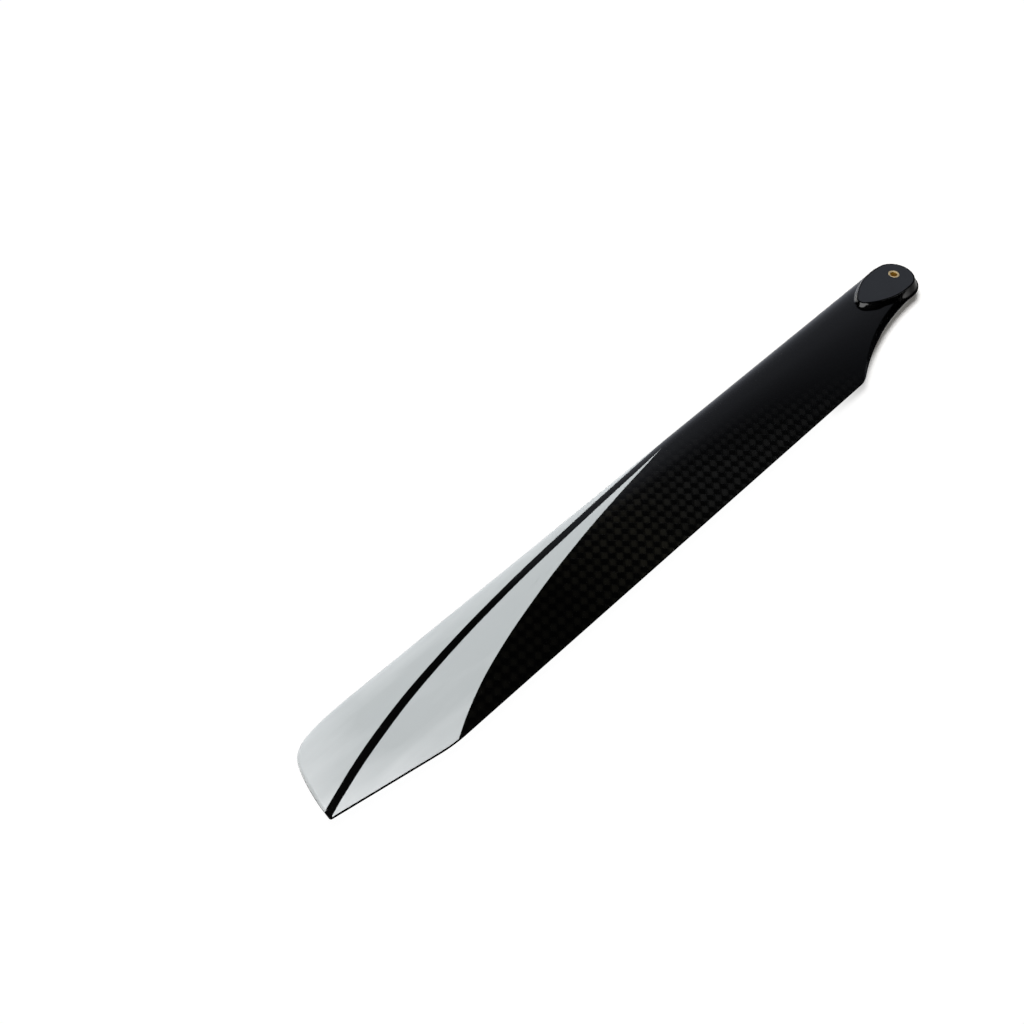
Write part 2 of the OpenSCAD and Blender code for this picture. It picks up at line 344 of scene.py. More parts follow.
def pad_gap(p):
    """Distance of a plan point from the pad's outline, below zero inside it."""
    at_end = bearing(p - PAD_END) % (2 * pi)
    at_nose = bearing(p - PAD_NOSE)
    if PAD["back_end"] <= at_end <= PAD["front_end"]:
        return (p - PAD_END).length - PAD_END_R
    if PAD["front_nose"] - 2 * pi <= at_nose <= PAD["back_nose"]:
        return (p - PAD_NOSE).length - PAD_NOSE_R
    if (p - PAD_END).dot(PAD["across"]) > 0:
        return (p - PAD["back"]).length - PAD_SIDE_R
    return (p - PAD["front"]).length - PAD_SIDE_R


def eased(t):
    """Soft step from 0 to 1."""
    t = min(1.0, max(0.0, t))
    return t * t * (3 - 2 * t)


def flare(p):
    """Width of the hollow sweep: narrow on the leading side, widest round the nose."""
    near_nose = eased(1 + (p.x - PAD_NOSE.x) / (2 * PAD_NOSE_R))
    trailing = eased((bearing(p - PAD_NOSE) - NOSE_TURN[0]) / (NOSE_TURN[1] - NOSE_TURN[0]))
    past_bolt = eased(p.x / PAD_END_R)
    trail = PAD_FLARE + (NOSE_FLARE - PAD_FLARE) * near_nose
    return trail + (LEAD_FLARE - trail) * (1 - trailing) * past_bolt


def pad_outline(inset):
    """Points round the pad from the leading side of its nose, as many as round the root."""
    points = []
    for k in range(CHORD_STEPS):
        turn = PAD["back_nose"] - PAD["front_nose"] + 2 * pi
        angle = PAD["front_nose"] - 2 * pi + turn * share(k, CHORD_STEPS)
        points.append(PAD_NOSE + polar(angle) * (PAD_NOSE_R - inset))
    for k in range(SIDE_STEPS):
        angle = PAD["back_nose"] + (PAD["back_end"] - PAD["back_nose"]) * k / SIDE_STEPS
        points.append(PAD["back"] + polar(angle) * (PAD_SIDE_R - inset))
    for k in range(END_STEPS):
        angle = PAD["back_end"] + (PAD["front_end"] - PAD["back_end"]) * k / END_STEPS
        points.append(PAD_END + polar(angle) * (PAD_END_R - inset))
    for k in range(SIDE_STEPS):
        angle = PAD["front_end"] + (PAD["front_nose"] - PAD["front_end"]) * k / SIDE_STEPS
        points.append(PAD["front"] + polar(angle) * (PAD_SIDE_R - inset))
    return points


def root_outline():
    """Points round the root in the same order: join to the stations, cut-away, round end, leading edge."""
    points = []
    join_width = trailing_edge(JOIN_X) - LE_Y
    for k in range(CHORD_STEPS):
        points.append(Vector((JOIN_X, LE_Y + join_width * share(k, CHORD_STEPS))))
    for k in range(SIDE_STEPS):
        x = JOIN_X + (END_C.x - JOIN_X) * k / SIDE_STEPS
        points.append(Vector((x, trailing_edge(x))))
    for k in range(END_STEPS):
        points.append(END_C + polar(pi / 2 + pi * k / END_STEPS) * ROOT_END_R)
    for k in range(SIDE_STEPS):
        points.append(Vector((END_C.x + (JOIN_X - END_C.x) * k / SIDE_STEPS, LE_Y)))
    return points


def root_point(p, lift=0.0):
    """A plan point of the root with the measures that its thickness follows."""
    across = max(0.0, (p.y - LE_Y) / CHORD)
    out = (p - END_C).length
    gap = ROOT_END_R - out if p.x < END_C.x else (p - CUT_C).length - CUT_R
    nose_share = 0.0
    if p.x < END_C.x and p.y < END_C.y:
        nose_share = asin(min(1.0, (END_C.y - p.y) / max(out, LE_FLAT))) / (pi / 2)
    return {
        "place": p,
        "across": across,
        "width": CHORD,
        "rim_gap": max(0.0, gap),
        "rim_round": TINY,
        "rim_slope": tan(RIM_SLOPE),
        "rim_half": RIM_THICK / 2,
        "nose_share": nose_share,
        "nose_across": max(0.0, gap) / CHORD,
        "pad_gap": max(0.0, pad_gap(p)),
        "flare": flare(p),
        "lift": lift,
    }


def station_point(a, b, bow, f):
    """A plan point of one station, the share f of the way from its leading to its trailing end."""
    p = a + (b - a) * f
    if p.x <= CORNER_X:
        return root_point(p)
    end_gap = (TIP_TE - p).dot(TIP_OUT)
    return {
        "place": p + TIP_OUT * (4 * f * (1 - f) * bow * TIP_BOW),
        "across": f,
        "width": (b - a).length,
        "rim_gap": max(0.0, end_gap),
        "rim_round": TIP_ROUND,
        "rim_slope": FAR,
        "rim_half": TIP_THICK / 2,
        "nose_share": 0.0,
        "nose_across": 0.0,
        "pad_gap": FAR,
        "flare": PAD_FLARE,
        "lift": 0.0,
    }


def stations():
    """Leading and trailing ends of the stations from the join to the tip, with their share of the bow."""
    xs = [JOIN_X + (CUT_STOP - JOIN_X) * i / CUT_STEPS for i in range(1, CUT_STEPS)]
    xs += [CUT_STOP + (CORNER_X - CUT_STOP) * i / CORNER_STEPS for i in range(CORNER_STEPS)]
    xs += [CORNER_X + (BEND_IN - CORNER_X) * i / STRAIGHT_STEPS for i in range(STRAIGHT_STEPS)]
    xs += [BEND_IN + (BEND_OUT - BEND_IN) * i / BEND_STEPS for i in range(BEND_STEPS + 1)]
    ends = [(Vector((x, LE_Y)), Vector((x, trailing_edge(x))), 0.0) for x in xs]
    for i in range(TIP_STEPS + 1):
        t = 1 - (1 - i / TIP_STEPS) ** 2
        ends.append((tip_leading(t), tip_trailing(t), t))
    return ends


def root_rings():
    """Rings of points from the bushing's hole over the pad and its wall, out to the rim of the root."""
    pad = pad_outline(0.0)
    flat = pad_outline(PAD_EDGE + PAD_EDGE_SOFT)
    edge = pad_outline(PAD_EDGE)
    rim = root_outline()
    hole = [polar(bearing(p)) * BUSHING_R for p in pad]
    rings = [
        [root_point(p, PAD_LIP) for p in hole],
        [root_point(p, PAD_LIP) for p in flat],
        [root_point(p, PAD_LIP) for p in edge],
        [root_point(p, PAD_LIP - PAD_EDGE_DROP) for p in pad],
    ]
    for m in range(WEB_STEPS + 1):
        rings.append([root_point(a + (b - a) * share(m, WEB_STEPS)) for a, b in zip(pad, rim)])
    return rings


def is_black_tip_face(rows, i, j):
    """Whether a tip face is black: a painted shade along the end edge and round the leading corner, and
    the stripe's own black round its rounded end.
    """
    point = rows[i - 1][j]
    in_end_shade = i >= len(rows) - END_SHADE_STEPS
    in_corner_shade = i >= len(rows) - TIP_STEPS // 2 and j < END_SHADE_STEPS
    in_stripe = point["rim_gap"] < TIP_ROUND and point["place"].y > STRIPE_END
    return in_end_shade or in_corner_shade or in_stripe


def upper_side(ring_count, row_count):
    """Faces of the upper side, its border edges and its trailing and end edges, as point numbers."""
    last_ring = ring_count - 1

    def ring(m, k):
        return m * AROUND + k % AROUND

    def row(i, j):
        if i == 0:
            return ring(last_ring, j)
        return ring_count * AROUND + (i - 1) * (CHORD_STEPS + 1) + j

    upper = [(ring(m, k), ring(m + 1, k), ring(m + 1, k + 1), ring(m, k + 1))
             for m in range(last_ring) for k in range(AROUND)]
    upper += [(row(i, j), row(i + 1, j), row(i + 1, j + 1), row(i, j + 1))
              for i in range(row_count) for j in range(CHORD_STEPS)]
    border = [(ring(last_ring, k + 1), ring(last_ring, k)) for k in range(CHORD_STEPS, AROUND)]
    border += [(row(i + 1, 0), row(i, 0)) for i in range(row_count)]
    border += [(ring(0, k), ring(0, k + 1)) for k in range(AROUND)]
    trailing = [(row(i, CHORD_STEPS), row(i + 1, CHORD_STEPS)) for i in range(row_count)]
    trailing += [(row(row_count, j + 1), row(row_count, j)) for j in range(CHORD_STEPS)]
    return upper, border, trailing


def blade_plan():
    """Both faces of the blade laid flat, joined by their edge walls, with each point's measures."""
    rings = root_rings()
    shares = [share(j, CHORD_STEPS) for j in range(CHORD_STEPS + 1)]
    rows = [[station_point(a, b, bow, f) for f in shares] for a, b, bow in stations()]
    points = [p for line in rings + rows for p in line]
    upper, border, trailing = upper_side(len(rings), len(rows))
    count = len(points)
    lower = [tuple(count + v for v in reversed(face)) for face in upper]
    walls = [(a, b, count + b, count + a) for a, b in border + trailing]
    faces = upper + lower + walls
    pad = range(PAD_STRIPS * AROUND)
    pad_faces = set(pad) | {len(upper) + n for n in pad}
    root_faces = (len(rings) - 1) * AROUND
    # tip faces painted black as shade along the end edge, and the stripe's own black end
    tip = [root_faces + i * CHORD_STEPS + j
           for i in range(len(rows) - TIP_STEPS, len(rows)) for j in range(CHORD_STEPS)
           if is_black_tip_face(rows, i, j)]
    edge_black = set(tip) | {len(upper) + n for n in tip}
    edge_black |= set(range(len(faces) - len(trailing), len(faces)))
    return {
        "points": points,
        "faces": faces,
        "pad_top": [float(n in pad_faces) for n in range(len(faces))],
        "matt_edge_and_end_shade": [float(n in edge_black) for n in range(len(faces))],
    }


LENGTHS = ("width", "rim_gap", "rim_round", "rim_half", "pad_gap", "flare", "lift")
POINT_MEASURES = LENGTHS + ("across", "nose_share", "nose_across", "rim_slope")
FACE_MARKS = ("pad_top", "matt_edge_and_end_shade")


def plan_object():
    """The flat plan as a mesh object that carries the measures as attributes."""
    plan = blade_plan()
    flat = [(p["place"].x * MM, p["place"].y * MM, 0.0) for p in plan["points"]]
    mesh = bpy.data.meshes.new("blade_plan")
    mesh.from_pydata(flat + flat, [], plan["faces"])
    for name in POINT_MEASURES:
        scale = MM if name in LENGTHS else 1.0
        values = [p[name] * scale for p in plan["points"]]
        mesh.attributes.new(name, "FLOAT", "POINT").data.foreach_set("value", values + values)
    sides = [1.0] * len(flat) + [-1.0] * len(flat)
    mesh.attributes.new("side", "FLOAT", "POINT").data.foreach_set("value", sides)
    for name in FACE_MARKS:
        mesh.attributes.new(name, "FLOAT", "FACE").data.foreach_set("value", plan[name])
    piece = bpy.data.objects.new("blade_plan", mesh)
    bpy.context.scene.collection.objects.link(piece)
    return piece


def feed(tree, socket, value):
    """Links a socket to the value, or sets it where the value is a plain one."""
    if isinstance(value, bpy.types.NodeSocket):
        tree.links.new(value, socket)
    else:
        socket.default_value = value


def calc(tree, operation, *values):
    """A Math node's result."""
    node = tree.nodes.new("ShaderNodeMath")
    node.operation = operation
    for socket, value in zip(node.inputs, values):
        feed(tree, socket, value)
    return node.outputs[0]


def add(tree, *values):
    """Sum of the values."""
    total = values[0]
    for value in values[1:]:
        total = calc(tree, "ADD", total, value)
    return total


def times(tree, *values):
    """Product of the values."""
    total = values[0]
    for value in values[1:]:
        total = calc(tree, "MULTIPLY", total, value)
    return total


def minus(tree, a, b):
    """Difference of two values."""
    return calc(tree, "SUBTRACT", a, b)


def rest_of(tree, value):
    """What is left of 1."""
    return minus(tree, 1.0, value)


def ramp(tree, value, low, high):
    """0 below low, 1 above high and straight between."""
    node = tree.nodes.new("ShaderNodeMapRange")
    feed(tree, node.inputs["Value"], value)
    node.inputs["From Min"].default_value = low
    node.inputs["From Max"].default_value = high
    return node.outputs["Result"]


def over(tree, value, stretch):
    """Ramp over a stretch given in millimetres."""
    return ramp(tree, value, stretch[0] * MM, stretch[1] * MM)


def between(tree, factor, a, b):
    """The value the share factor of the way from a to b."""
    return add(tree, a, times(tree, factor, minus(tree, b, a)))


def sockets(tree, inputs, outputs):
    """Named inputs and outputs of a node tree, and its two end nodes."""
    for name, kind in inputs:
        tree.interface.new_socket(name=name, in_out="INPUT", socket_type=kind)
    for name, kind in outputs:
        tree.interface.new_socket(name=name, in_out="OUTPUT", socket_type=kind)
    return tree.nodes.new("NodeGroupInput").outputs, tree.nodes.new("NodeGroupOutput").inputs


FLOAT = "NodeSocketFloat"
VECTOR = "NodeSocketVector"


def section_tree():
    """Half thickness of the symmetric round-nosed section at a share of the chord."""
    tree = bpy.data.node_groups.new("section_half", "GeometryNodeTree")
    given, result = sockets(
        tree,
        [(n, FLOAT) for n in ("Across", "Width", "Thickness", "Leading Flat", "Trailing Edge")],
        [("Half", FLOAT)],
    )
    k = given["Across"]
    rooted, straight, *higher = SECTION_CURVE
    curve = add(tree, times(tree, calc(tree, "SQRT", k), rooted), times(tree, k, straight))
    for power, factor in enumerate(higher, 2):
        curve = add(tree, curve, times(tree, calc(tree, "POWER", k, float(power)), factor))
    leading_half = times(tree, given["Leading Flat"], 0.5)
    trailing_half = times(tree, given["Trailing Edge"], 0.5)
    edges = between(tree, k, leading_half, trailing_half)
    swell = times(tree, curve, given["Thickness"], given["Width"], SECTION_GAIN)
    feed(tree, result["Half"], add(tree, swell, edges))
    return tree


def attribute(tree, name):
    """A measure or mark that the plan carries."""
    node = tree.nodes.new("GeometryNodeInputNamedAttribute")
    node.data_type = "FLOAT"
    node.inputs["Name"].default_value = name
    return node.outputs["Attribute"]


def section_at(tree, group, given, across):
    """The section's half thickness at a share of the chord that each point carries."""
    node = tree.nodes.new("GeometryNodeGroup")
    node.node_tree = group
    feed(tree, node.inputs["Across"], across)
    feed(tree, node.inputs["Width"], attribute(tree, "width"))
    for name in ("Thickness", "Leading Flat", "Trailing Edge"):
        feed(tree, node.inputs[name], given[name])
    return node.outputs["Half"]


def reached(tree, gap, reach):
    """Share of the reach that the gap covers, up to 1."""
    return calc(tree, "MINIMUM", calc(tree, "DIVIDE", gap, reach), 1.0)


def half_height(tree, given):
    """Section, bevelled rim, rounded end edge, round root nose and the hollow sweep up to the pad."""
    group = section_tree()
    plain = section_at(tree, group, given, attribute(tree, "across"))
    rim = calc(tree, "MINIMUM", plain, attribute(tree, "rim_half"))
    inward = reached(tree, attribute(tree, "rim_gap"), attribute(tree, "rim_round"))
    arc = calc(tree, "SQRT", rest_of(tree, calc(tree, "POWER", rest_of(tree, inward), 2.0)))
    bevel = add(tree, rim, times(tree, attribute(tree, "rim_gap"), attribute(tree, "rim_slope")))
    rimmed = calc(tree, "MINIMUM", between(tree, arc, rim, plain), bevel)
    nose = section_at(tree, group, given, attribute(tree, "nose_across"))
    skin = between(tree, attribute(tree, "nose_share"), rimmed, nose)
    near_pad = rest_of(tree, reached(tree, attribute(tree, "pad_gap"), attribute(tree, "flare")))
    sweep = calc(tree, "POWER", near_pad, given["Sweep Hollow"])
    return add(tree, between(tree, sweep, skin, given["Wall Foot"]), attribute(tree, "lift"))


def finished(tree, shape, finish, mark=None):
    """Gives the faces that carry the mark, or all of them, one finish."""
    node = tree.nodes.new("GeometryNodeSetMaterial")
    feed(tree, node.inputs["Geometry"], shape)
    feed(tree, node.inputs["Material"], finish)
    if mark:
        feed(tree, node.inputs["Selection"], calc(tree, "GREATER_THAN", attribute(tree, mark), 0.5))
    return node.outputs["Geometry"]


def blade_tree():
    """Raises the flat plan to the blade's two faces and gives each face its finish."""
    tree = bpy.data.node_groups.new("blade_form", "GeometryNodeTree")
    sizes = ("Thickness", "Leading Flat", "Trailing Edge", "Wall Foot", "Sweep Hollow")
    given, result = sockets(
        tree,
        [("Geometry", "NodeSocketGeometry")] + [(n, FLOAT) for n in sizes]
        + [(n, "NodeSocketMaterial") for n in ("Skin Finish", "Pad Finish", "Edge Finish")],
        [("Geometry", "NodeSocketGeometry")],
    )
    place = tree.nodes.new("ShaderNodeSeparateXYZ")
    tree.links.new(tree.nodes.new("GeometryNodeInputPosition").outputs[0], place.inputs[0])
    raised = tree.nodes.new("ShaderNodeCombineXYZ")
    feed(tree, raised.inputs["X"], place.outputs["X"])
    feed(tree, raised.inputs["Y"], place.outputs["Y"])
    feed(tree, raised.inputs["Z"], times(tree, attribute(tree, "side"), half_height(tree, given)))
    move = tree.nodes.new("GeometryNodeSetPosition")
    feed(tree, move.inputs["Geometry"], given["Geometry"])
    feed(tree, move.inputs["Position"], raised.outputs[0])
    whole = tree.nodes.new("GeometryNodeRealizeInstances")
    feed(tree, whole.inputs["Geometry"], move.outputs["Geometry"])
    skin = finished(tree, whole.outputs["Geometry"], given["Skin Finish"])
    pads = finished(tree, skin, given["Pad Finish"], "pad_top")
    feed(tree, result["Geometry"], finished(tree, pads, given["Edge Finish"], "matt_edge_and_end_shade"))
    return tree


def baked(piece, name, drop=()):
    """The evaluated piece as a plain smooth mesh object with sharp edges kept."""
    graph = bpy.context.evaluated_depsgraph_get()
    mesh = bpy.data.meshes.new_from_object(piece.evaluated_get(graph))
    mesh.name = name
    for attribute_name in drop:
        mesh.attributes.remove(mesh.attributes[attribute_name])
    mesh.shade_smooth()
    mesh.set_sharp_from_angle(angle=BLADE_SHARP)
    bpy.data.objects.remove(piece)
    made = bpy.data.objects.new(name, mesh)
    bpy.context.scene.collection.objects.link(made)
    return made


def make_blade(skin_finish, pad_finish, edge_finish):
    """The blade raised from its plan, as a plain mesh with its three finishes."""
    plan = plan_object()
    tree = blade_tree()
    form = plan.modifiers.new("blade_form", "NODES")
    form.node_group = tree
    values = {
        "Thickness": SECTION_SHARE,
        "Leading Flat": LE_FLAT * MM,
        "Trailing Edge": TE_THICK * MM,
        "Wall Foot": (ROOT_HALF - PAD_LIP) * MM,
        "Sweep Hollow": SWEEP_HOLLOW,
        "Skin Finish": skin_finish,
        "Pad Finish": pad_finish,
        "Edge Finish": edge_finish,
    }
    for item in tree.interface.items_tree:
        if item.in_out == "INPUT" and item.name in values:
            form[item.identifier] = values[item.name]
    return baked(plan, "rotor_blade", POINT_MEASURES + FACE_MARKS + ("side",))


def make_bushing(finish):
    """Profile of the bushing turned about the bolt's axis."""
    top = ROOT_HALF
    profile = [
        (BUSHING_R, BUSHING_EDGE - top),
        (BUSHING_R, top - BUSHING_EDGE),
        (BUSHING_R - BUSHING_EDGE, top),
        (BORE_R + MOUTH_CHAMFER, top),
        (BORE_R, top - MOUTH_CHAMFER),
        (BORE_R, MOUTH_CHAMFER - top),
        (BORE_R + MOUTH_CHAMFER, -top),
        (BUSHING_R - BUSHING_EDGE, -top),
    ]
    n = len(profile)
    verts = []
    for k in range(TURN_STEPS):
        way = polar(2 * pi * k / TURN_STEPS)
        verts += [(way.x * r * MM, way.y * r * MM, z * MM) for r, z in profile]
    faces = []
    for k in range(TURN_STEPS):
        here, ahead = k * n, (k + 1) % TURN_STEPS * n
        faces += [(here + i, ahead + i, ahead + (i + 1) % n, here + (i + 1) % n) for i in range(n)]
    mesh = bpy.data.meshes.new("bolt_bushing")
    mesh.from_pydata(verts, [], faces)
    mesh.materials.append(finish)
    mesh.shade_smooth()
    mesh.set_sharp_from_angle(angle=BUSHING_SHARP)
    piece = bpy.data.objects.new("bolt_bushing", mesh)
    bpy.context.scene.collection.objects.link(piece)
    return piece


def noise(tree, place, scale, detail=2.0):
    """Soft noise at a place."""
    node = tree.nodes.new("ShaderNodeTexNoise")
    feed(tree, node.inputs["Vector"], place)
    node.inputs["Scale"].default_value = scale
    node.inputs["Detail"].default_value = detail
    return node.outputs["Fac"]


def vector(tree, x, y, z):
    """A vector put together from its parts."""
    node = tree.nodes.new("ShaderNodeCombineXYZ")
    for socket, value in zip(node.inputs, (x, y, z)):
        feed(tree, socket, value)
    return node.outputs[0]


def parts(tree, place):
    """The three parts of a vector."""
    node = tree.nodes.new("ShaderNodeSeparateXYZ")
    feed(tree, node.inputs[0], place)
    return node.outputs["X"], node.outputs["Y"], node.outputs["Z"]


def mixed(tree, factor, a, b):
    """Two colours mixed."""
    node = tree.nodes.new("ShaderNodeMix")
    node.data_type = "RGBA"
    feed(tree, node.inputs["Factor"], factor)
    feed(tree, node.inputs[6], a)
    feed(tree, node.inputs[7], b)
    return node.outputs[2]


def scaled(colour, factor):
    """A colour made lighter or darker."""
    return tuple(c * factor for c in colour[:3]) + (1,)


def group_node(tree, group, values):
    """Places a shared effect in a material with its own values."""
    node = tree.nodes.new("ShaderNodeGroup")
    node.node_tree = group
    for name, value in values.items():
        feed(tree, node.inputs[name], value)
    return node.outputs


def weave_group():
    """Plain woven tows at 45 degrees to the blade: their painted sheen and shade, how they bulge, their
    fibres.
    """
    tree = bpy.data.node_groups.new("plain_weave", "ShaderNodeTree")
    given, result = sockets(
        tree,
        [("Place", VECTOR), ("Pitch", FLOAT)],
        [(n, FLOAT) for n in ("Sheen And Shade", "Bulge", "Fibre", "Chance")],
    )
    x, y, _ = parts(tree, given["Place"])
    step = times(tree, given["Pitch"], sqrt(2))
    u = calc(tree, "DIVIDE", add(tree, x, y), step)
    v = calc(tree, "DIVIDE", minus(tree, x, y), step)
    iu, iv = calc(tree, "FLOOR", u), calc(tree, "FLOOR", v)
    weft = calc(tree, "FLOORED_MODULO", add(tree, iu, iv), 2.0)
    fu, fv = calc(tree, "FRACT", u), calc(tree, "FRACT", v)
    bow_u = times(tree, fu, rest_of(tree, fu), 4.0)
    bow_v = times(tree, fv, rest_of(tree, fv), 4.0)
    warp_bulge = times(tree, calc(tree, "SQRT", bow_v), between(tree, bow_u, TOW_LOW, 1.0))
    weft_bulge = times(tree, calc(tree, "SQRT", bow_u), between(tree, bow_v, TOW_LOW, 1.0))
    along, across = FIBRE_DRAWN
    warp_fibre = noise(tree, vector(tree, times(tree, u, along), times(tree, v, across), 0.0), 1.0)
    weft_fibre = noise(tree, vector(tree, times(tree, u, across), times(tree, v, along), 3.0), 1.0)
    # painted shade: darker where the weft dips under the warp, and along one side of each warp tow
    dip_shade = times(tree, ramp(tree, bow_u, *WEFT_DIP_U), ramp(tree, bow_v, *WEFT_DIP_V))
    side_shadow = times(tree, ramp(tree, fv, *WARP_SIDE_SHADOW), WARP_SIDE_SHADOW_DEPTH)
    chance = tree.nodes.new("ShaderNodeTexWhiteNoise")
    chance.noise_dimensions = "2D"
    feed(tree, chance.inputs["Vector"], vector(tree, iu, iv, 0.0))
    # painted sheen: warp tows lighter across their crowns; weft tows painted darker, as they catch less
    # light
    warp_sheen = times(tree, between(tree, warp_bulge, *WARP_SHEEN), rest_of(tree, side_shadow))
    weft_shade = between(tree, dip_shade, *WEFT_SHADE)
    feed(tree, result["Sheen And Shade"], between(tree, weft, warp_sheen, weft_shade))
    feed(tree, result["Chance"], chance.outputs["Value"])
    feed(tree, result["Bulge"], between(tree, weft, warp_bulge, weft_bulge))
    feed(tree, result["Fibre"], between(tree, weft, warp_fibre, weft_fibre))
    return tree


def border_y(tree, x, points):
    """Height of a painted border at x, in millimetres, along a smooth curve through its points."""
    low, high = BORDER_X
    node = tree.nodes.new("ShaderNodeFloatCurve")
    curve = node.mapping.curves[0]
    depth = BORDER_Y[1] - BORDER_Y[0]
    fitted = [((px - low) / (high - low), (py - BORDER_Y[0]) / depth) for px, py in points]
    curve.points[0].location = fitted[0]
    curve.points[1].location = fitted[-1]
    for px, py in fitted[1:-1]:
        curve.points.new(px, py)
    node.mapping.update()
    feed(tree, node.inputs["Value"], ramp(tree, x, low, high))
    return add(tree, times(tree, node.outputs[0], depth), BORDER_Y[0])


def fields_group():
    """Masks of the painted tip: the pale fields and the dark stripe between them."""
    tree = bpy.data.node_groups.new("painted_fields", "ShaderNodeTree")
    given, result = sockets(tree, [("Place", VECTOR)], [("Pale", FLOAT), ("Stripe", FLOAT)])
    px, py, _ = parts(tree, given["Place"])
    x, y = times(tree, px, 1 / MM), times(tree, py, 1 / MM)
    soft = (-BORDER_SOFT, BORDER_SOFT)
    lead = ramp(tree, minus(tree, y, border_y(tree, x, STRIPE_LEAD)), *soft)
    trail = ramp(tree, minus(tree, y, border_y(tree, x, STRIPE_TRAIL)), *soft)
    root = ramp(tree, minus(tree, border_y(tree, x, FIELD_ROOT), y), *soft)
    begun = ramp(tree, x, *STRIPE_START)
    trailing_field = calc(tree, "MINIMUM", trail, root)
    feed(tree, result["Pale"], calc(tree, "MAXIMUM", rest_of(tree, lead), trailing_field))
    feed(tree, result["Stripe"], times(tree, begun, lead, rest_of(tree, trail)))
    return tree


def patina_group():
    """Soft cloudy change of shade and the finest specks, for any finish."""
    tree = bpy.data.node_groups.new("patina", "ShaderNodeTree")
    given, result = sockets(
        tree, [("Place", VECTOR), ("Run", FLOAT)], [("Cloud", FLOAT), ("Grain", FLOAT)]
    )
    x, y, z = parts(tree, given["Place"])
    drawn = vector(tree, times(tree, x, given["Run"]), y, z)
    feed(tree, result["Cloud"], noise(tree, drawn, CLOUD_SCALE, CLOUD_DETAIL))
    feed(tree, result["Grain"], noise(tree, given["Place"], GRAIN_SCALE, GRAIN_DETAIL))
    return tree


def new_material(name):
    """A material with its node tree, its shader and the place on the piece."""
    material = bpy.data.materials.new(name)
    material.use_nodes = True
    tree = material.node_tree
    place = tree.nodes.new("ShaderNodeTexCoord").outputs["Object"]
    return material, tree, tree.nodes["Principled BSDF"], place


def bump(tree, height, depth, strength):
    """Normals that follow a height, with its depth in millimetres."""
    node = tree.nodes.new("ShaderNodeBump")
    feed(tree, node.inputs["Height"], height)
    node.inputs["Distance"].default_value = depth * MM
    node.inputs["Strength"].default_value = strength
    return node.outputs["Normal"]


def cloth_shown(tree, x, y, paint):
    """Where the weave shows: away from root and paint, and fainter toward the tip, a painted shade for its
    sheen falling off there.
    """
    outward = add(tree, x, times(tree, y, WEAVE_SLANT))
    clear = rest_of(tree, times(tree, over(tree, x, WEAVE_SHEEN_FADES), WEAVE_SHEEN_FADE))
    woven = times(tree, over(tree, outward, WEAVE_BEGINS), clear)
    return times(tree, woven, rest_of(tree, paint["Pale"]), rest_of(tree, paint["Stripe"]))


def cloth_colour(tree, x, cloth):
    """Tows from painted shade to painted sheen, each a little different, warmer toward the tip."""
    tows = mixed(tree, over(tree, x, WARM_BEGINS), TOW_COLOUR, WARM_TOW_COLOUR)
    chance = between(tree, cloth["Chance"], *CHANCE_SHADE)
    fibre = between(tree, cloth["Fibre"], *FIBRE_SHADE)
    return mixed(tree, times(tree, cloth["Sheen And Shade"], times(tree, chance, fibre)), TOW_SHADE_COLOUR, tows)


def paint_colour(tree, x, y, cloud):
    """Pale paint with a painted sheen that lightens it toward its edges, and soft clouds, partly uneven
    paint and partly painted sheen streaks.
    """
    # painted sheen toward the end edge, the leading edge and the outer trailing edge
    near_end = times(tree, over(tree, x, NEAR_END), END_SHEEN)
    near_lead = times(tree, over(tree, y, NEAR_LEAD), LEAD_SHEEN)
    near_trail = times(tree, over(tree, y, NEAR_TRAIL), over(tree, x, OUTER))
    clouds = times(tree, minus(tree, cloud["Cloud"], 0.5), CLOUD_SHEEN)
    sheen = add(tree, near_end, near_lead, near_trail, clouds)
    return mixed(tree, sheen, PALE_COLOUR, PALE_SHEEN_COLOUR)


def skin_material(weave, fields, patina):
    """Woven carbon under clear lacquer, smooth toward the root, with the painted tip."""
    material, tree, shader, place = new_material("lacquered_carbon")
    cloth = group_node(tree, weave, {"Place": place, "Pitch": TOW_PITCH * MM})
    paint = group_node(tree, fields, {"Place": place})
    cloud = group_node(tree, patina, {"Place": place, "Run": SKIN_RUN})
    x, y, _ = parts(tree, place)
    shown = cloth_shown(tree, x, y, paint)
    carbon = mixed(tree, shown, LACQUER_COLOUR, cloth_colour(tree, x, cloth))
    striped = mixed(tree, paint["Stripe"], carbon, STRIPE_COLOUR)
    painted = mixed(tree, paint["Pale"], striped, paint_colour(tree, x, y, cloud))
    feed(tree, shader.inputs["Base Color"], painted)
    dull = between(tree, shown, LACQUER_ROUGH, between(tree, cloth["Fibre"], *TOW_ROUGH))
    feed(tree, shader.inputs["Roughness"], dull)
    height = add(tree, times(tree, cloth["Bulge"], shown), times(tree, cloud["Grain"], SKIN_GRAIN))
    feed(tree, shader.inputs["Normal"], bump(tree, height, *WEAVE_BUMP))
    feed(tree, shader.inputs["Coat Weight"], over(tree, x, COAT_BEGINS))
    shader.inputs["Coat Roughness"].default_value = COAT_ROUGH
    shader.inputs["Specular IOR Level"].default_value = SKIN_SPECULAR
    return material


def pad_material(patina):
    """Satin dark grey of the pads, with a fine moulded grain."""
    material, tree, shader, place = new_material("satin_pad")
    cloud = group_node(tree, patina, {"Place": place, "Run": 1.0})
    lighter = scaled(PAD_COLOUR, PAD_SHADE)
    feed(tree, shader.inputs["Base Color"], mixed(tree, cloud["Cloud"], PAD_COLOUR, lighter))
    feed(tree, shader.inputs["Roughness"], between(tree, cloud["Grain"], *PAD_ROUGH))
    feed(tree, shader.inputs["Normal"], bump(tree, cloud["Grain"], *PAD_BUMP))
    return material


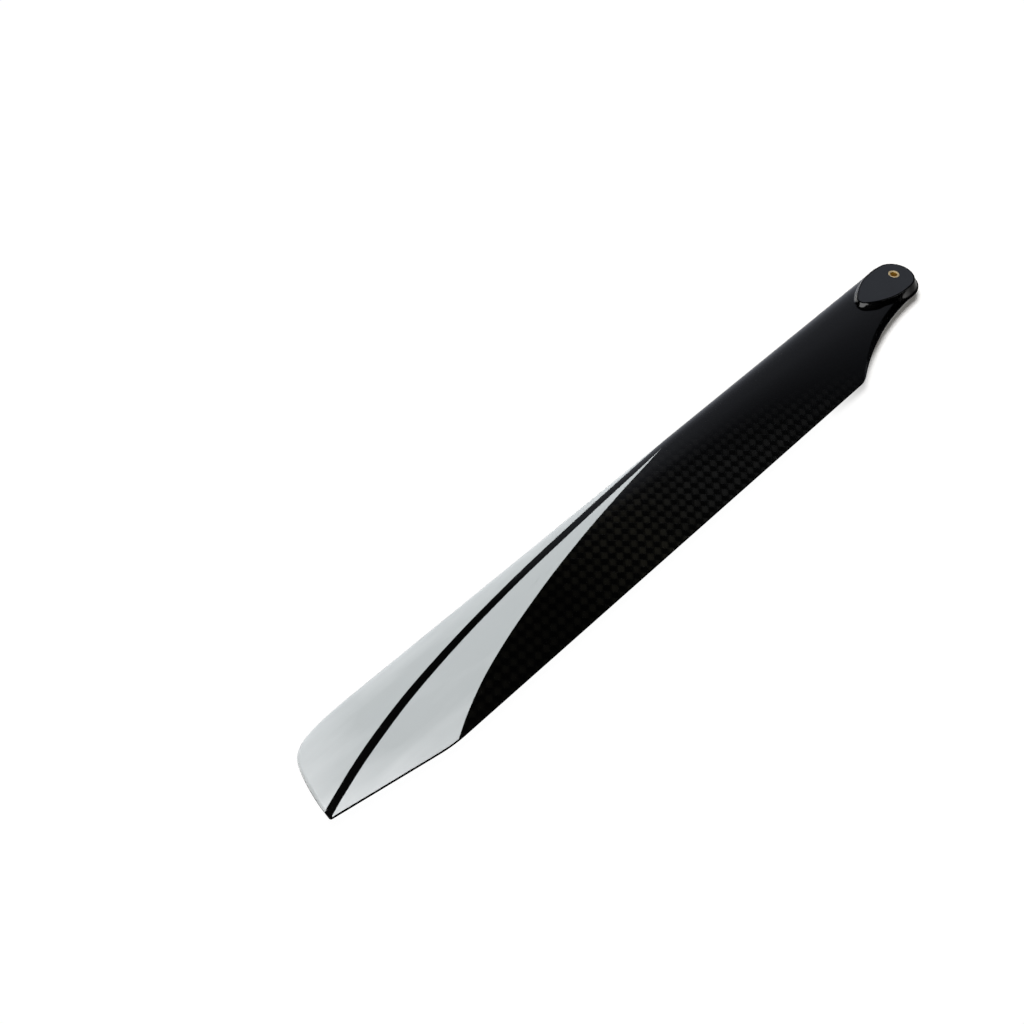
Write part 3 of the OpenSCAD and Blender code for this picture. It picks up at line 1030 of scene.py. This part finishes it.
def edge_material(patina):
    """Matt black of the sanded trailing edge, and the same black as a painted shade along the end edge and
    round the tip's leading corner.
    """
    material, tree, shader, place = new_material("sanded_edge_and_end_shade")
    cloud = group_node(tree, patina, {"Place": place, "Run": EDGE_RUN})
    lighter = scaled(EDGE_COLOUR, EDGE_SHADE)
    feed(tree, shader.inputs["Base Color"], mixed(tree, cloud["Cloud"], EDGE_COLOUR, lighter))
    feed(tree, shader.inputs["Roughness"], between(tree, cloud["Grain"], *EDGE_ROUGH))
    feed(tree, shader.inputs["Normal"], bump(tree, cloud["Grain"], *EDGE_BUMP))
    shader.inputs["Specular IOR Level"].default_value = 0.0
    return material


def brass_material(patina):
    """Bright turned brass with fine tool rings, and a painted shade inside the bore."""
    material, tree, shader, place = new_material("turned_brass")
    cloud = group_node(tree, patina, {"Place": place, "Run": 1.0})
    x, y, z = parts(tree, place)
    radius = calc(tree, "SQRT", add(tree, times(tree, x, x), times(tree, y, y)))
    rings = calc(tree, "SINE", times(tree, add(tree, radius, z), 2 * pi / (TOOL_RING * MM)))
    bright = mixed(tree, cloud["Cloud"], BRASS_COLOUR, scaled(BRASS_COLOUR, BRASS_SHADE))
    # painted shade: darker brass in the bore and the inner part of its mouth
    outside = over(tree, radius, (BORE_R + BORE_SHADE_FADE[0], BORE_R + BORE_SHADE_FADE[1]))
    feed(tree, shader.inputs["Base Color"], mixed(tree, outside, BORE_SHADE_COLOUR, bright))
    feed(tree, shader.inputs["Roughness"], between(tree, cloud["Cloud"], *BRASS_ROUGH))
    feed(tree, shader.inputs["Normal"], bump(tree, rings, *BRASS_BUMP))
    shader.inputs["Metallic"].default_value = 1.0
    return material


def floor_material():
    """White floor with the shadow beside the tall root; farther out the camera sees it almost plain."""
    material, tree, shader, place = new_material("studio_floor")
    shader.inputs["Roughness"].default_value = FLOOR_ROUGH
    shader.inputs["Specular IOR Level"].default_value = 0.0
    x, y, _ = parts(tree, place)
    reach = calc(tree, "SQRT", add(tree, times(tree, x, x), times(tree, y, y)))
    path = tree.nodes.new("ShaderNodeLightPath")
    beyond = over(tree, reach, ROOT_SHADE)
    lifted = times(tree, beyond, path.outputs["Is Camera Ray"])
    feed(tree, shader.inputs["Base Color"], mixed(tree, lifted, FLOOR_COLOUR, FAR_FLOOR_COLOUR))
    feed(tree, shader.inputs["Emission Color"], mixed(tree, lifted, ROOT_LIFT, FLOOR_LIFT))
    seen = calc(tree, "MAXIMUM", path.outputs["Is Camera Ray"], path.outputs["Is Glossy Ray"])
    feed(tree, shader.inputs["Emission Strength"], seen)
    return material


def from_ground(x, y, z):
    """A point of the ground frame, in millimetres, in the blade's own frame, in metres."""
    flat = Matrix.Rotation(-BLADE_YAW, 2) @ (Vector((x, y)) - BLADE_AT)
    return Vector((flat.x, flat.y, z)) * MM


def turn_from_ground(v):
    """A direction of the ground frame in the blade's own frame."""
    return Matrix.Rotation(-BLADE_YAW, 3, "Z") @ v


def make_floor():
    """The floor that the lower pad rests on."""
    half = FLOOR_SIZE / 2
    z = -ROOT_HALF * MM
    mesh = bpy.data.meshes.new("floor")
    corners = [(-half, -half, z), (half, -half, z), (half, half, z), (-half, half, z)]
    mesh.from_pydata(corners, [], [(0, 1, 2, 3)])
    mesh.materials.append(floor_material())
    floor = bpy.data.objects.new("floor", mesh)
    bpy.context.scene.collection.objects.link(floor)


def make_camera():
    """Camera at the photograph's viewing angle."""
    data = bpy.data.cameras.new("camera")
    data.sensor_fit = "HORIZONTAL"
    data.sensor_width = CAMERA_SENSOR
    data.lens = CAMERA_LENS
    data.clip_start = CAMERA_NEAR
    camera = bpy.data.objects.new("camera", data)
    back = Vector((0, -cos(CAMERA_TILT), sin(CAMERA_TILT)))
    level_up = Vector((0, sin(CAMERA_TILT), cos(CAMERA_TILT)))
    level_right = Vector((1, 0, 0))
    right = level_right * cos(CAMERA_ROLL) - level_up * sin(CAMERA_ROLL)
    up = level_right * sin(CAMERA_ROLL) + level_up * cos(CAMERA_ROLL)
    axes = [turn_from_ground(v) for v in (right, up, back)]
    place = from_ground(*(back * CAMERA_REACH))
    camera.matrix_world = Matrix.Translation(place) @ Matrix(axes).transposed().to_4x4()
    bpy.context.scene.collection.objects.link(camera)
    bpy.context.scene.camera = camera


def make_softbox(name, place, aim, size, power):
    """A rectangular lamp turned toward its aim."""
    data = bpy.data.lights.new(name, "AREA")
    data.shape = "RECTANGLE"
    data.size, data.size_y = size
    data.energy = power
    lamp = bpy.data.objects.new(name, data)
    lamp.location = from_ground(*place)
    way = from_ground(*aim) - lamp.location
    lamp.rotation_mode = "QUATERNION"
    lamp.rotation_quaternion = way.to_track_quat("-Z", "Y")
    bpy.context.scene.collection.objects.link(lamp)
    return lamp


def tinted(level):
    """A level of the mirrored room, faintly blue."""
    return scaled(ROOM_TINT, level)


def make_world():
    """White to the camera, even fill on the object, and a pale backdrop that glossy finishes mirror."""
    world = bpy.data.worlds.new("studio")
    world.use_nodes = True
    bpy.context.scene.world = world
    tree = world.node_tree
    background = tree.nodes["Background"]
    way = tree.nodes.new("ShaderNodeTexCoord").outputs["Generated"]
    x, y, z = parts(tree, way)
    room = tree.nodes.new("ShaderNodeValToRGB")
    stops = room.color_ramp.elements
    for stop, (height, level) in zip(stops, (MIRRORED[0], MIRRORED[-1])):
        stop.position, stop.color = height, tinted(level)
    for height, level in MIRRORED[1:-1]:
        stops.new(height).color = tinted(level)
    feed(tree, room.inputs["Fac"], z)
    behind = turn_from_ground(Vector((0, 1, 0)))
    away = add(tree, times(tree, x, behind.x), times(tree, y, behind.y))
    mirrored = mixed(tree, ramp(tree, away, *BACKDROP_REACH), (0, 0, 0, 1), room.outputs["Color"])
    path = tree.nodes.new("ShaderNodeLightPath")
    seen = mixed(tree, path.outputs["Is Glossy Ray"], FILL, mirrored)
    shown = mixed(tree, path.outputs["Is Camera Ray"], seen, (1, 1, 1, 1))
    feed(tree, background.inputs["Color"], shown)


def light_scene():
    """A front softbox that glossy finishes mirror and one behind that lights the surfaces."""
    make_world()
    front = make_softbox("front_softbox", FRONT_AT, (0, 0, 0), FRONT_SIZE, FRONT_POWER)
    front.visible_diffuse = False
    back = make_softbox("back_softbox", BACK_AT, (0, 0, 0), BACK_SIZE, BACK_POWER)
    back.visible_glossy = False


def dress():
    """Makes both pieces with their finishes and ties them to the part."""
    weave, fields, patina = weave_group(), fields_group(), patina_group()
    skin = skin_material(weave, fields, patina)
    blade = make_blade(skin, pad_material(patina), edge_material(patina))
    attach(blade, "root")
    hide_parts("blade")
    bushing = make_bushing(brass_material(patina))
    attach(bushing, "root")
    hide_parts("bushing")


bpy.context.scene.view_settings.view_transform = "Standard"
make_camera()
make_floor()
light_scene()
dress()
